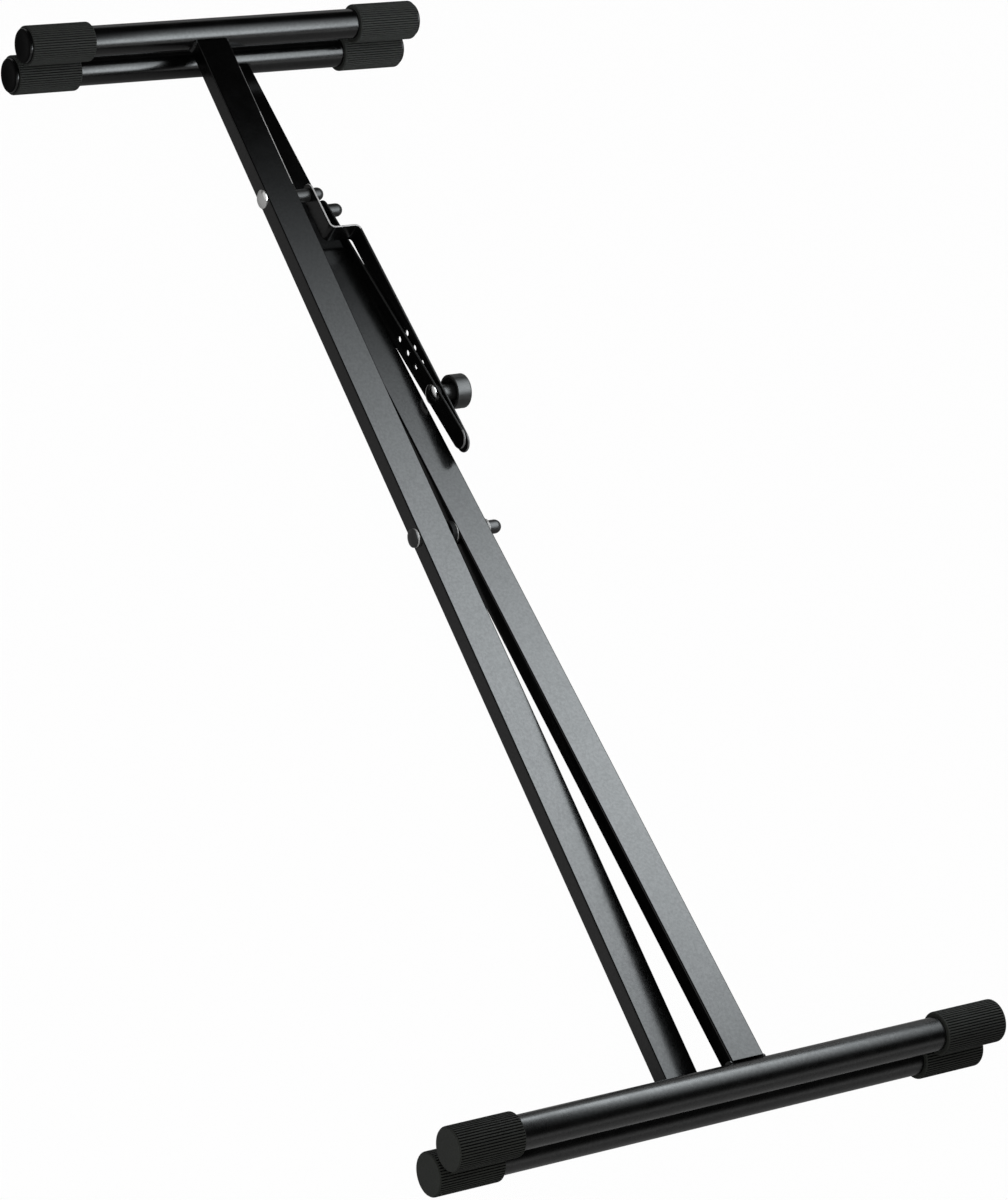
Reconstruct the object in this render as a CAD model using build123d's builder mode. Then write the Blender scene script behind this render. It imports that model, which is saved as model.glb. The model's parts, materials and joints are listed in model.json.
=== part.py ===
# Folded X-type keyboard stand: two crossed legs, each with a round support tube and a round foot tube,
# a pair of flat lock straps between the legs, and a clamping knob at the elbow of the straps.
# The stand lies folded on the floor: X runs along the round tubes, Y along the legs towards the supports,
# Z up. The origin is on the floor, under the middle of the stand.
import os
from math import asin, atan2, cos, hypot, pi, sin

from build123d import *

os.makedirs("parts", exist_ok=True)

# Legs and how they lie when folded
support_reach = 528.0  # pivot to support tube axis
foot_reach = 532.0  # pivot to foot tube axis
stack_half = 19.5  # pivot height above the axis of the lower tubes
leg_width = 30.6
leg_depth = 16.0
leg_wall = 1.5
leg_corner = 1.4
leg_gap = 6.2  # clear space between the two legs

# Round tubes and their rubber ends
tube_radius = 13.5
tube_wall = 1.5
support_tube_length = 384.0
foot_tube_length = 512.0
grip_radius = 17.25
grip_length = 59.0
grip_chamfer = 1.6
rib_depth = 0.7
rib_count = 48
plug_rim_radius = 16.6
plug_face_radius = 11.0
plug_thickness = 4.5
plug_edge = 3.5
plug_dish = 0.8
plug_stem_length = 14.0
cap_length = 60.0
cap_end_thickness = 4.0
cap_crown = 1.2
cap_edge_radius = 2.0
weld_radius = 3.0
weld_inset = 1.0  # how far a weld stops short of the leg's front and back faces

# Pivot
pivot_radius = 5.0
pivot_head_radius = 7.9
pivot_head_height = 3.2
head_washer_radius = 7.9
head_washer_thickness = 1.6
bush_wall = 2.0
pivot_washer_radius = 10.2
pale_washer_radius = 9.0
pale_washer_thickness = 1.3
cover_washer_radius = 7.6
cover_washer_thickness = 2.0

# Strap pins, nuts and their covers
pin_reach = 348.0  # pivot to strap pin
pin_radius = 3.0
pin_head_radius = 8.2
pin_head_height = 3.8
inner_head_height = 2.4  # low head between the legs
spacer_radius = 5.8
nut_radius = 5.2
nut_height = 5.0
thread_tail = 1.5
cover_wall = 0.9
pivot_cover_height = 13.8
strap_a_cover_height = 12.3
strap_b_cover_height = 17.0

# Lock straps
strap_half_width = 9.6
strap_thickness = 2.0
strap_a_offset = 14.3  # from the right side of leg A to strap A
strap_b_offset = 2.5  # from the right side of leg B to strap B
joggle_start = 43.0  # from the pin of strap A to its double bend
joggle_depth = 27.4
bend_radius = 4.5
elbow_reach = 128.8  # pivot to elbow, along the stand
elbow_rise = 13.3  # elbow above the pivot
strap_tail = 50.2  # elbow to the centre of the rounded end
hole_radius = 2.5
hole_pitch = 16.1
hole_first = 32.5  # elbow to the nearest spare hole
spare_holes = 3

# Elbow bolt and knob
elbow_radius = 3.0
elbow_head_radius = 8.7
elbow_head_height = 3.8
elbow_washer_radius = 8.0
elbow_washer_thickness = 3.0
knob_radius = 14.8
knob_length = 14.2
knob_wall = 2.2
knob_recess = 6.0
knob_edge = 1.6
hub_radius = 7.0
hub_length = 9.2

# Clearances
play = 0.2  # between flat faces that turn on each other
run_clear = 0.5  # between the elbow washer and the slanted run of strap A
running = 0.06  # radial clearance of a pin in a hole that turns on it

# Leg angles follow from the stack of tubes: both lower tubes lie at one height
pivot = Vector(0, (foot_reach - support_reach) / 2, stack_half + grip_radius)
tilt_a = asin(stack_half / foot_reach)
tilt_b = asin(stack_half / support_reach)
frame_a = Plane(origin=pivot, x_dir=(1, 0, 0), z_dir=(0, -sin(tilt_a), cos(tilt_a)))
frame_b = Plane(origin=pivot, x_dir=(1, 0, 0), z_dir=(0, sin(tilt_b), cos(tilt_b)))

# Sides of the legs and of the straps
leg_a_left = -leg_gap / 2 - leg_width
leg_a_right = -leg_gap / 2
leg_b_left = leg_gap / 2
leg_b_right = leg_gap / 2 + leg_width
strap_a_left = leg_a_right + strap_a_offset
strap_b_left = leg_b_right + strap_b_offset
strap_b_right = strap_b_left + strap_thickness
elbow_gap_end = strap_b_right + elbow_washer_thickness

# Strap A's second run slants outwards, from beside strap B to outside the elbow washer
run_start = strap_a_left + joggle_depth
half_strap = strap_thickness / 2
pin_a = frame_a.from_local_coords(Vector(0, pin_reach, 0))
pin_b = frame_b.from_local_coords(Vector(0, pin_reach, 0))
elbow = pivot + Vector(0, elbow_reach, elbow_rise)
strap_a_reach = hypot(pin_a.Y - elbow.Y, pin_a.Z - elbow.Z)
strap_b_reach = hypot(pin_b.Y - elbow.Y, pin_b.Z - elbow.Z)
run_length = strap_a_reach - joggle_start
strap_a_elbow = elbow_gap_end + run_clear
run_slope = (strap_a_elbow - run_start) / run_length
run_lean = abs(run_slope) * hub_radius + play


def strap_frame(pin):
    """Plane at a strap's pin with its y axis pointing from the elbow to the pin."""
    angle = atan2(pin.Z - elbow.Z, pin.Y - elbow.Y)
    return Plane(origin=pin, x_dir=(1, 0, 0), z_dir=(0, -sin(angle), cos(angle)))


strap_frame_a = strap_frame(pin_a)
strap_frame_b = strap_frame(pin_b)


def across(frame, x, y):
    """Sketch plane facing +X, at a place in a leg's or strap's own frame."""
    return Plane(origin=frame.from_local_coords(Vector(x, y, 0)), x_dir=frame.y_dir, z_dir=frame.x_dir)


def along(frame, x, y):
    """Sketch plane facing up the leg, at a place in its own frame."""
    return Plane(origin=frame.from_local_coords(Vector(x, y, 0)), x_dir=frame.x_dir, z_dir=frame.y_dir)


def flat(frame, y):
    """Sketch plane in a frame's own xy plane, with its x axis on a tube, pin or knob axis."""
    return Plane(origin=frame.from_local_coords(Vector(0, y, 0)), x_dir=frame.x_dir, z_dir=frame.z_dir)


def cross_axis(frame, y):
    """Axis of a tube, pin or knob that crosses the frame at y."""
    return Axis(frame.from_local_coords(Vector(0, y, 0)), frame.x_dir)


def dome_point(edge_x, edge_radius, apex_x):
    """Point halfway along a spherical arc from an edge to its apex on the axis."""
    height = abs(edge_x - apex_x)
    sphere = (edge_radius**2 + height**2) / (2 * height)
    half = atan2(edge_radius, sphere - height) / 2
    side = 1 if edge_x > apex_x else -1
    return (apex_x + side * sphere * (1 - cos(half)), sphere * sin(half))


def save(piece, name):
    """Label a finished piece and write it."""
    piece.part.label = name
    export_step(piece.part, f"parts/{name}.step")


def ring(frame, y, start, end, outer, inner):
    """Round sleeve, washer or tube between two places on X."""
    with BuildPart() as piece:
        with BuildSketch(across(frame, start, y)):
            Circle(outer)
            Circle(inner, mode=Mode.SUBTRACT)
        extrude(amount=end - start)
    return piece


def leg(frame, left, pivot_hole):
    """Rectangular tube with rounded corners, square ends on the round tubes, and cross holes."""
    low = -foot_reach + tube_radius
    high = support_reach - tube_radius
    middle = left + leg_width / 2
    with BuildPart() as piece:
        with BuildSketch(along(frame, middle, low)):
            RectangleRounded(leg_width, leg_depth, leg_corner)
            inner_corner = max(leg_corner - leg_wall, leg_wall / 3)
            RectangleRounded(leg_width - 2 * leg_wall, leg_depth - 2 * leg_wall, inner_corner, mode=Mode.SUBTRACT)
        extrude(amount=high - low)
        with BuildSketch(across(frame, left, 0)):
            Circle(pivot_hole)
        extrude(amount=leg_width, mode=Mode.SUBTRACT)
        with BuildSketch(across(frame, left, pin_reach)):
            Circle(pin_radius)
        extrude(amount=leg_width, mode=Mode.SUBTRACT)
    return piece


def weld(frame, left, y):
    """Two fillet beads, one on each side of a leg, that follow the round tube it stands on."""
    side = 1 if y > 0 else -1
    bead_height = leg_depth - 2 * weld_inset
    with BuildPart(frame) as piece:
        with Locations((left, y, 0), (left + leg_width, y, 0)):
            Torus(tube_radius, weld_radius, rotation=(0, 90, 0))
        with Locations((left + leg_width / 2, y - side * tube_radius, 0)):
            Box(leg_width + 4 * weld_radius, 2 * tube_radius, bead_height, mode=Mode.INTERSECT)
            Box(leg_width, 4 * tube_radius, leg_depth, mode=Mode.SUBTRACT)
        with Locations((0, y, 0)):
            Cylinder(tube_radius, foot_tube_length, rotation=(0, 90, 0), mode=Mode.SUBTRACT)
    return piece


def rib_points(radius):
    """Outline of a ribbed sleeve: broad lands with narrow grooves between them."""
    points = []
    for index in range(rib_count):
        turn = 2 * pi / rib_count
        for share, reach in ((-0.3, radius), (0.3, radius), (0.5, radius - rib_depth)):
            angle = (index + share) * turn
            points.append((reach * cos(angle), reach * sin(angle)))
    return points


def grip(frame, y, side):
    """Ribbed rubber sleeve near the end of a support tube, with a plain bevelled inner end."""
    outer_end = side * support_tube_length / 2
    inner_end = outer_end - side * grip_length
    rib_start = inner_end + side * grip_chamfer
    root = grip_radius - rib_depth
    with BuildPart() as piece:
        with BuildSketch(across(frame, rib_start, y)):
            with BuildLine():
                Polyline(*rib_points(grip_radius), close=True)
            make_face()
        extrude(amount=outer_end - rib_start)
        with BuildSketch(flat(frame, y)):
            with BuildLine():
                Polyline((rib_start, 0), (rib_start, root), (inner_end, root - grip_chamfer), (inner_end, 0), close=True)
            make_face()
        revolve(axis=cross_axis(frame, y))
        with BuildSketch(across(frame, inner_end, y)):
            Circle(tube_radius)
        extrude(amount=outer_end - inner_end, mode=Mode.SUBTRACT)
    return piece


def plug(frame, y, side):
    """Glossy end plug: low rounded rim, dished face and a stem inside the tube."""
    base = side * support_tube_length / 2
    face = base + side * plug_thickness
    dish = face - side * plug_dish
    stem = base - side * plug_stem_length
    stem_radius = tube_radius - tube_wall
    rim = face - side * plug_edge
    edge_middle = (rim + side * plug_edge * sin(pi / 4), plug_rim_radius - plug_edge * (1 - cos(pi / 4)))
    with BuildPart() as piece:
        with BuildSketch(flat(frame, y)):
            with BuildLine():
                Line((stem, 0), (stem, stem_radius))
                Line((stem, stem_radius), (base, stem_radius))
                Line((base, stem_radius), (base, plug_rim_radius))
                Line((base, plug_rim_radius), (rim, plug_rim_radius))
                ThreePointArc((rim, plug_rim_radius), edge_middle, (face, plug_rim_radius - plug_edge))
                Line((face, plug_rim_radius - plug_edge), (face, plug_face_radius))
                ThreePointArc((face, plug_face_radius), dome_point(face, plug_face_radius, dish), (dish, 0))
                Line((dish, 0), (stem, 0))
            make_face()
        revolve(axis=cross_axis(frame, y))
    return piece


def foot_cap(frame, y, side):
    """Ribbed rubber cap over the end of a foot tube, with a smooth crowned end."""
    tube_end = side * foot_tube_length / 2
    outer_end = tube_end + side * cap_end_thickness
    inner_end = outer_end - side * cap_length
    rib_start = inner_end + side * grip_chamfer
    rib_end = outer_end - side * cap_edge_radius
    root = grip_radius - rib_depth
    crown_foot = outer_end - side * cap_crown
    bend = cap_edge_radius - cap_crown
    with BuildPart() as piece:
        with BuildSketch(across(frame, rib_start, y)):
            with BuildLine():
                Polyline(*rib_points(grip_radius), close=True)
            make_face()
        extrude(amount=rib_end - rib_start)
        with BuildSketch(flat(frame, y)):
            with BuildLine():
                Line((inner_end, 0), (inner_end, root - grip_chamfer))
                Line((inner_end, root - grip_chamfer), (rib_start, root))
                Line((rib_start, root), (rib_end, root))
                edge_middle = (rib_end + side * bend * 0.707, root - bend * 0.293)
                ThreePointArc((rib_end, root), edge_middle, (crown_foot, root - bend))
                crown_middle = dome_point(crown_foot, root - bend, outer_end)
                ThreePointArc((crown_foot, root - bend), crown_middle, (outer_end, 0))
                Line((outer_end, 0), (inner_end, 0))
            make_face()
        revolve(axis=cross_axis(frame, y))
        with BuildSketch(across(frame, inner_end, y)):
            Circle(tube_radius)
        extrude(amount=tube_end - inner_end, mode=Mode.SUBTRACT)
    return piece


def headed_bolt(frame, y, head_end, head_height, head_radius, steps):
    """Bolt with a low domed head that faces -X; steps are (end on X, radius) along its shank."""
    crown = head_end - head_height
    rim = head_end - head_height * 0.3
    with BuildPart() as piece:
        with BuildSketch(flat(frame, y)):
            with BuildLine():
                Line((head_end, 0), (head_end, head_radius))
                Line((head_end, head_radius), (rim, head_radius))
                ThreePointArc((rim, head_radius), dome_point(rim, head_radius, crown), (crown, 0))
                Line((crown, 0), (head_end, 0))
            make_face()
        revolve(axis=cross_axis(frame, y))
        start = head_end
        for end, radius in steps:
            with BuildSketch(across(frame, start, y)):
                Circle(radius)
            extrude(amount=end - start)
            start = end
    return piece


def nut(frame, y, start, bore):
    """Hexagon nut on a threaded end."""
    with BuildPart() as piece:
        with BuildSketch(across(frame, start, y)):
            RegularPolygon(nut_radius, 6)
            Circle(bore, mode=Mode.SUBTRACT)
        extrude(amount=nut_height)
    return piece


def nut_cover(frame, y, start, height):
    """Plastic cover with a round end, pushed over a nut."""
    outer = nut_radius + cover_wall
    end = start + height
    shoulder = end - outer
    pocket = start + nut_height + thread_tail
    with BuildPart() as piece:
        with BuildSketch(flat(frame, y)):
            with BuildLine():
                Line((start, nut_radius), (start, outer))
                Line((start, outer), (shoulder, outer))
                ThreePointArc((shoulder, outer), dome_point(shoulder, outer, end), (end, 0))
                Line((end, 0), (pocket, 0))
                Line((pocket, 0), (pocket, nut_radius))
                Line((pocket, nut_radius), (start, nut_radius))
            make_face()
        revolve(axis=cross_axis(frame, y))
    return piece


# The legs, with what is welded and pushed on to each of them
bush_radius = pivot_radius + running + bush_wall
for letter, frame, left, pivot_hole in (
    ("a", frame_a, leg_a_left, bush_radius),
    ("b", frame_b, leg_b_left, pivot_radius),
):
    save(leg(frame, left, pivot_hole), f"leg_{letter}_tube")
    for place, y, length in (
        ("support", support_reach, support_tube_length),
        ("foot", -foot_reach, foot_tube_length),
    ):
        tube = ring(frame, y, -length / 2, length / 2, tube_radius, tube_radius - tube_wall)
        save(tube, f"{place}_tube_{letter}")
        save(weld(frame, left, y), f"weld_{place}_{letter}")
    for hand, side in (("left", -1), ("right", 1)):
        save(grip(frame, support_reach, side), f"support_grip_{letter}_{hand}")
        save(plug(frame, support_reach, side), f"support_plug_{letter}_{hand}")
        save(foot_cap(frame, -foot_reach, side), f"foot_cap_{letter}_{hand}")

# Pivot: the bolt is held in leg B and turns in the bush of leg A
bore = pivot_radius + running
pale_start = leg_b_left - pale_washer_thickness
cover_start = leg_b_right + cover_washer_thickness
thread_end = cover_start + nut_height + thread_tail
pivot_steps = ((leg_b_right, pivot_radius), (thread_end, pin_radius))
head_end = leg_a_left - play - head_washer_thickness
pivot_bolt = headed_bolt(frame_b, 0, head_end, pivot_head_height, pivot_head_radius, pivot_steps)
save(pivot_bolt, "pivot_bolt")
save(ring(frame_b, 0, head_end, leg_a_left - play, head_washer_radius, pivot_radius), "pivot_washer_head")
save(ring(frame_a, 0, leg_a_left, leg_a_right, bush_radius, bore), "pivot_bush")
save(ring(frame_a, 0, leg_a_right, pale_start - play, pivot_washer_radius, bore), "pivot_washer_dark")
save(ring(frame_b, 0, pale_start, leg_b_left, pale_washer_radius, pivot_radius), "pivot_washer_pale")
save(ring(frame_b, 0, leg_b_right, cover_start, cover_washer_radius, pin_radius), "pivot_washer_outer")
save(nut(frame_b, 0, cover_start, pin_radius), "pivot_nut")
save(nut_cover(frame_b, 0, cover_start, pivot_cover_height), "pivot_nut_cover")

# Strap pins: each is a bolt through its leg, with a spacer, the strap, a nut and a cover
for letter, frame, left, right, strap_left, head, cover_height in (
    ("a", frame_a, leg_a_left, leg_a_right, strap_a_left, pin_head_height, strap_a_cover_height),
    ("b", frame_b, leg_b_left, leg_b_right, strap_b_left, inner_head_height, strap_b_cover_height),
):
    nut_start = strap_left + strap_thickness + play
    pin_end = nut_start + nut_height + thread_tail
    pin = headed_bolt(frame, pin_reach, left, head, pin_head_radius, ((pin_end, pin_radius),))
    save(pin, f"strap_pin_{letter}")
    save(ring(frame, pin_reach, right, strap_left - play, spacer_radius, pin_radius), f"strap_spacer_{letter}")
    save(nut(frame, pin_reach, nut_start, pin_radius), f"strap_nut_{letter}")
    save(nut_cover(frame, pin_reach, nut_start, cover_height), f"strap_nut_cover_{letter}")

# Strap A: a strip bent twice, cut to a round-ended outline, with a pin hole and a row of spare holes
tail_a = strap_a_reach + strap_tail
strip_end = tail_a + strap_half_width
strip_middle = strap_a_left + half_strap
run_middle = run_start + half_strap
strip_end_x = run_middle + run_slope * (strip_end - joggle_start)
with BuildPart() as strap_a:
    with BuildSketch(flat(strap_frame_a, 0)):
        with BuildLine():
            FilletPolyline(
                (strip_middle, strap_half_width),
                (strip_middle, -joggle_start),
                (run_middle, -joggle_start),
                (strip_end_x, -strip_end),
                radius=bend_radius,
            )
        trace(line_width=strap_thickness)
    extrude(amount=strap_half_width, both=True)
    with BuildSketch(across(strap_frame_a, leg_a_right, -tail_a / 2)):
        SlotCenterToCenter(tail_a, 2 * strap_half_width)
    extrude(amount=2 * (strip_end_x - leg_a_right), mode=Mode.INTERSECT)
    with BuildSketch(across(strap_frame_a, leg_a_right, 0)):
        Circle(pin_radius + running)
        with Locations((-strap_a_reach, 0)):
            Circle(elbow_radius + running)
        with Locations([(hole_first + i * hole_pitch - strap_a_reach, 0) for i in range(spare_holes)]):
            Circle(hole_radius)
    extrude(amount=2 * (strip_end_x - leg_a_right), mode=Mode.SUBTRACT)
save(strap_a, "strap_a")

# Strap B: a straight strip with the same outline
tail_b = strap_b_reach + strap_tail
with BuildPart() as strap_b:
    with BuildSketch(across(strap_frame_b, strap_b_left, -tail_b / 2)):
        SlotCenterToCenter(tail_b, 2 * strap_half_width)
    extrude(amount=strap_thickness)
    with BuildSketch(across(strap_frame_b, strap_b_left, 0)):
        Circle(pin_radius + running)
        with Locations((-strap_b_reach, 0)):
            Circle(elbow_radius)
        with Locations([(hole_first + i * hole_pitch - strap_b_reach, 0) for i in range(spare_holes)]):
            Circle(hole_radius)
    extrude(amount=strap_thickness, mode=Mode.SUBTRACT)
save(strap_b, "strap_b")

# Elbow: the bolt and washer stay with strap B, and the knob with its stud stays with strap A
elbow_steps = ((elbow_gap_end, elbow_radius),)
elbow_y = -strap_b_reach
elbow_bolt = headed_bolt(strap_frame_b, elbow_y, strap_b_left, elbow_head_height, elbow_head_radius, elbow_steps)
save(elbow_bolt, "elbow_bolt")
save(ring(strap_frame_b, elbow_y, strap_b_right, elbow_gap_end, elbow_washer_radius, elbow_radius), "elbow_washer")

knob_y = -strap_a_reach
hub_start = strap_a_elbow + strap_thickness + run_lean
grip_start = hub_start + hub_length
knob_end = grip_start + knob_length
knob_inner = knob_radius - knob_wall
recess_end = grip_start + knob_recess
with BuildPart() as knob:
    with BuildSketch(flat(strap_frame_a, knob_y)):
        with BuildLine():
            knob_outline = Polyline(
                (hub_start, 0),
                (hub_start, hub_radius),
                (recess_end, hub_radius),
                (recess_end, knob_inner),
                (grip_start, knob_inner),
                (grip_start, knob_radius),
                (knob_end, knob_radius),
                (knob_end, 0),
                close=True,
            )
        face = make_face()
        fillet(face.vertices().group_by(Axis.Y)[-1].sort_by(Axis.X)[-1:], knob_edge)
    revolve(axis=cross_axis(strap_frame_a, knob_y))
    stud_end = knob_end - knob_wall
    with BuildSketch(across(strap_frame_a, hub_start, knob_y)):
        Circle(elbow_radius)
    extrude(amount=stud_end - hub_start, mode=Mode.SUBTRACT)
save(knob, "knob")

with BuildPart() as knob_stud:
    with BuildSketch(across(strap_frame_a, elbow_gap_end + play, knob_y)):
        Circle(elbow_radius)
    extrude(amount=stud_end - elbow_gap_end - play)
save(knob_stud, "knob_stud")
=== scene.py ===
import json
from math import asin, atan2, cos, hypot, inf, pi, radians, sin

import bmesh
import bpy
from mathutils import Matrix, Vector


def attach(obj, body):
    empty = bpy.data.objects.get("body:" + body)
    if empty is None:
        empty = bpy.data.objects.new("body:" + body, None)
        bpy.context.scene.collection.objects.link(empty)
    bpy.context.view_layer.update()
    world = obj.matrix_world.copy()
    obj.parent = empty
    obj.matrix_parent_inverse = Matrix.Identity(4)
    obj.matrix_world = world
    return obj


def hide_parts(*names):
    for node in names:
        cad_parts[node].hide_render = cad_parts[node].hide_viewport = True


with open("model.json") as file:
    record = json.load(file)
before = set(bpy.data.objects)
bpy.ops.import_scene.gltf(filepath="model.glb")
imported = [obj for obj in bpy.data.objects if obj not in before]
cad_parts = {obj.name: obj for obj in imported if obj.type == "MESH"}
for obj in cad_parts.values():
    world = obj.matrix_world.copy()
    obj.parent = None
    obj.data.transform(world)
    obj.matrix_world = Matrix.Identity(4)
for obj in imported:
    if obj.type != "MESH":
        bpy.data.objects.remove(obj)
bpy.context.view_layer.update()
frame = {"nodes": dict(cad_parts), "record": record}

# Sizes of the stand in millimetres, the same as in the solid model
SUPPORT_REACH, FOOT_REACH, STACK_HALF = 528.0, 532.0, 19.5
LEG_WIDTH, LEG_DEPTH, LEG_WALL, LEG_CORNER, LEG_GAP = 30.6, 16.0, 1.5, 1.4, 6.2
TUBE_R, TUBE_WALL = 13.5, 1.5
SUPPORT_TUBE, FOOT_TUBE = 384.0, 512.0
GRIP_R, GRIP_LENGTH = 17.25, 59.0
RIB_DEPTH, RIB_COUNT = 0.7, 48
PLUG_FACE_R, PLUG_THICK, PLUG_DISH = 11.0, 4.5, 0.8
CAP_LENGTH, CAP_END, CAP_CROWN, CAP_EDGE = 60.0, 4.0, 1.2, 2.0
WELD_R = 3.0
PIVOT_R, PIVOT_HEAD_R, PIVOT_HEAD_H, HEAD_WASHER_R, HEAD_WASHER_H = 5.0, 7.9, 3.2, 7.9, 1.6
WASHER_DARK_R, WASHER_PALE_R, WASHER_PALE_H = 10.2, 9.0, 1.3
WASHER_OUTER_R, WASHER_OUTER_H = 7.6, 2.0
PIN_REACH, PIN_R, PIN_HEAD_R, PIN_HEAD_H, INNER_HEAD_H = 348.0, 3.0, 8.2, 3.8, 2.4
SPACER_R, NUT_R, NUT_H, THREAD_TAIL = 5.8, 5.2, 5.0, 1.5
COVER_R, PIVOT_COVER_H, STRAP_A_COVER_H, STRAP_B_COVER_H = 6.1, 13.8, 12.3, 17.0
STRAP_HALF, STRAP_THICK, STRAP_A_OFFSET, STRAP_B_OFFSET = 9.6, 2.0, 14.3, 2.5
JOGGLE_START, JOGGLE_DEPTH, BEND_R = 43.0, 27.4, 4.5
ELBOW_REACH, ELBOW_RISE, STRAP_TAIL = 128.8, 13.3, 50.2
HOLE_R, HOLE_PITCH, HOLE_FIRST, SPARE_HOLES = 2.5, 16.1, 32.5, 3
ELBOW_R, ELBOW_HEAD_R, ELBOW_HEAD_H, ELBOW_WASHER_R, ELBOW_WASHER_H = 3.0, 8.7, 3.8, 8.0, 3.0
KNOB_R, KNOB_LENGTH, KNOB_WALL, KNOB_RECESS, KNOB_EDGE = 14.8, 14.2, 2.2, 6.0, 1.6
HUB_R, HUB_LENGTH = 7.0, 9.2
PLAY, RUN_CLEAR, RUNNING = 0.2, 0.5, 0.06

# Finer details that only the scene has, in millimetres; the rubber's soft ends are (along, below full radius)
SOFT_START = ((0.0, 1.6), (0.3, 0.8), (1.0, 0.15), (1.8, 0.0))
SOFT_LIP = ((0.8, 0.0), (0.2, 0.15), (0.0, 0.5))  # back from the outer end of a support sleeve
SOFT_EDGE = ((8.0, 0.0), (1.6, 0.0), (0.6, 0.15))  # back from the edge of a foot cap
RUBBER_RING = 12.0  # ring of points this far inside the rubber's ends
RIB_STEPS = 10  # points around for each rib
# Where a groove is at least this deep, its middle gets painted shade
GROOVE_HALF, GROOVE_SHADE = 0.26, 0.3  # half width as a share of the pitch; least share of the depth that is dark
SLEEVE_LIP, SLEEVE_LIP_R = PLUG_THICK * 0.3, PLUG_FACE_R + 4.3
PLUG_R, PLUG_ROUND, PLUG_BACK, PLUG_RIM = PLUG_FACE_R + 4.2, 1.6, 0.2, 1.0
PLUG_STEM, DISH_STEP = 14.0, 0.05
CAP_TURN_IN = CAP_EDGE * 0.7
PLUG_STEPS, CAP_STEPS = 10, 8
FOOT_RING = 40.0  # ring of points this far from the foot end of a leg
# Leg A's upper right corner gets a painted highlight from the first place, and a dimmer painted highlight
# between the last two
HIGHLIGHT_START, DIM_HIGHLIGHT_START, DIM_HIGHLIGHT_END = PIN_REACH + 8, 80, 30  # the last two from the end of the leg
FLANGE_END, FLANGE_STEP = 1.3, 0.25
BOLT_CHAMFER, NUT_CHAMFER = 0.4, 0.5
STRAP_SOFT = 0.8
KNOB_RIM, KNOB_DISH = 4.0, 0.35

# Studio: levels are shares of white, sizes and places are in metres
FLOOR_HALF, FLOOR_LEVEL, FLOOR_SHEEN, FLOOR_CLEAR = 30.0, 0.35, 0.08, 0.985
ROOM_LEVEL, HORIZON_LEVEL, CEILING_LEVEL = 0.45, 0.65, 0.01
HORIZON_END, CEILING_START = 0.05, 0.40  # heights in a direction of length 1
HORIZON_REACH = (("X", 0.2), ("Y", 0.12))
SOFTBOX_SIZE, SOFTBOX_POWER, SOFTBOX_COLOUR = (0.55, 1.42), 19.0, (0.94, 1.0, 1.03)
SOFTBOX_PLACE = (0.33, -0.02, 0.45)
SOFTBOX_FULL = (("X", 0.5), ("Y", 0.0))  # share of the way to its edges before it fades
FRONT_SIZE, FRONT_POWER = 1.0, 9.0
FRONT_PLACE, FRONT_AIM = (-0.5, -1.0, 1.0), (0.5, 0.8, -1.0)
SENSOR, FOCAL, SHIFT = 36.0, 129.59, (-0.00384, -0.18566)  # the first two in millimetres
CAMERA_PLACE, CAMERA_TURN = (-1.8846, -1.5493, 2.63075), (40.4706, -22.6690, -25.5569)  # turn in degrees

# Places that follow from the sizes
MM = 0.001
pivot = Vector((0, (FOOT_REACH - SUPPORT_REACH) / 2, STACK_HALF + GRIP_R))
tilt_a = asin(STACK_HALF / FOOT_REACH)
tilt_b = -asin(STACK_HALF / SUPPORT_REACH)
frame_a = Matrix.Translation(pivot) @ Matrix.Rotation(tilt_a, 4, "X")
frame_b = Matrix.Translation(pivot) @ Matrix.Rotation(tilt_b, 4, "X")
pin_a = frame_a @ Vector((0, PIN_REACH, 0))
pin_b = frame_b @ Vector((0, PIN_REACH, 0))
elbow = pivot + Vector((0, ELBOW_REACH, ELBOW_RISE))
leg_a_left, leg_a_right = -LEG_GAP / 2 - LEG_WIDTH, -LEG_GAP / 2
leg_b_left, leg_b_right = LEG_GAP / 2, LEG_GAP / 2 + LEG_WIDTH
strap_a_left = leg_a_right + STRAP_A_OFFSET
strap_b_left = leg_b_right + STRAP_B_OFFSET
strap_b_right = strap_b_left + STRAP_THICK
washer_end = strap_b_right + ELBOW_WASHER_H
run_start = strap_a_left + JOGGLE_DEPTH


def strap_frame(pin):
    """Frame at a strap's pin, with y from the elbow towards the pin; also the distance between them."""
    angle = atan2(pin.z - elbow.z, pin.y - elbow.y)
    return Matrix.Translation(pin) @ Matrix.Rotation(angle, 4, "X"), hypot(pin.y - elbow.y, pin.z - elbow.z)


strap_frame_a, strap_a_reach = strap_frame(pin_a)
strap_frame_b, strap_b_reach = strap_frame(pin_b)
run_slope = (washer_end + RUN_CLEAR - run_start) / (strap_a_reach - JOGGLE_START)
hub_start = washer_end + RUN_CLEAR + STRAP_THICK + abs(run_slope) * HUB_R + PLAY


# Materials
def node(tree, kind, **inputs):
    """Adds a shader node; keyword names are its properties or, with _ for spaces, its inputs."""
    made = tree.nodes.new(kind)
    for key, value in inputs.items():
        if hasattr(made, key):
            setattr(made, key, value)
        else:
            made.inputs[key.replace("_", " ")].default_value = value
    return made


def ramp(tree, source, low, high, at=(0.35, 0.65)):
    """Maps a grey value to a range between two numbers."""
    made = node(tree, "ShaderNodeMapRange", From_Min=at[0], From_Max=at[1], To_Min=low, To_Max=high)
    tree.links.new(source, made.inputs["Value"])
    return made.outputs["Result"]


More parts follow.
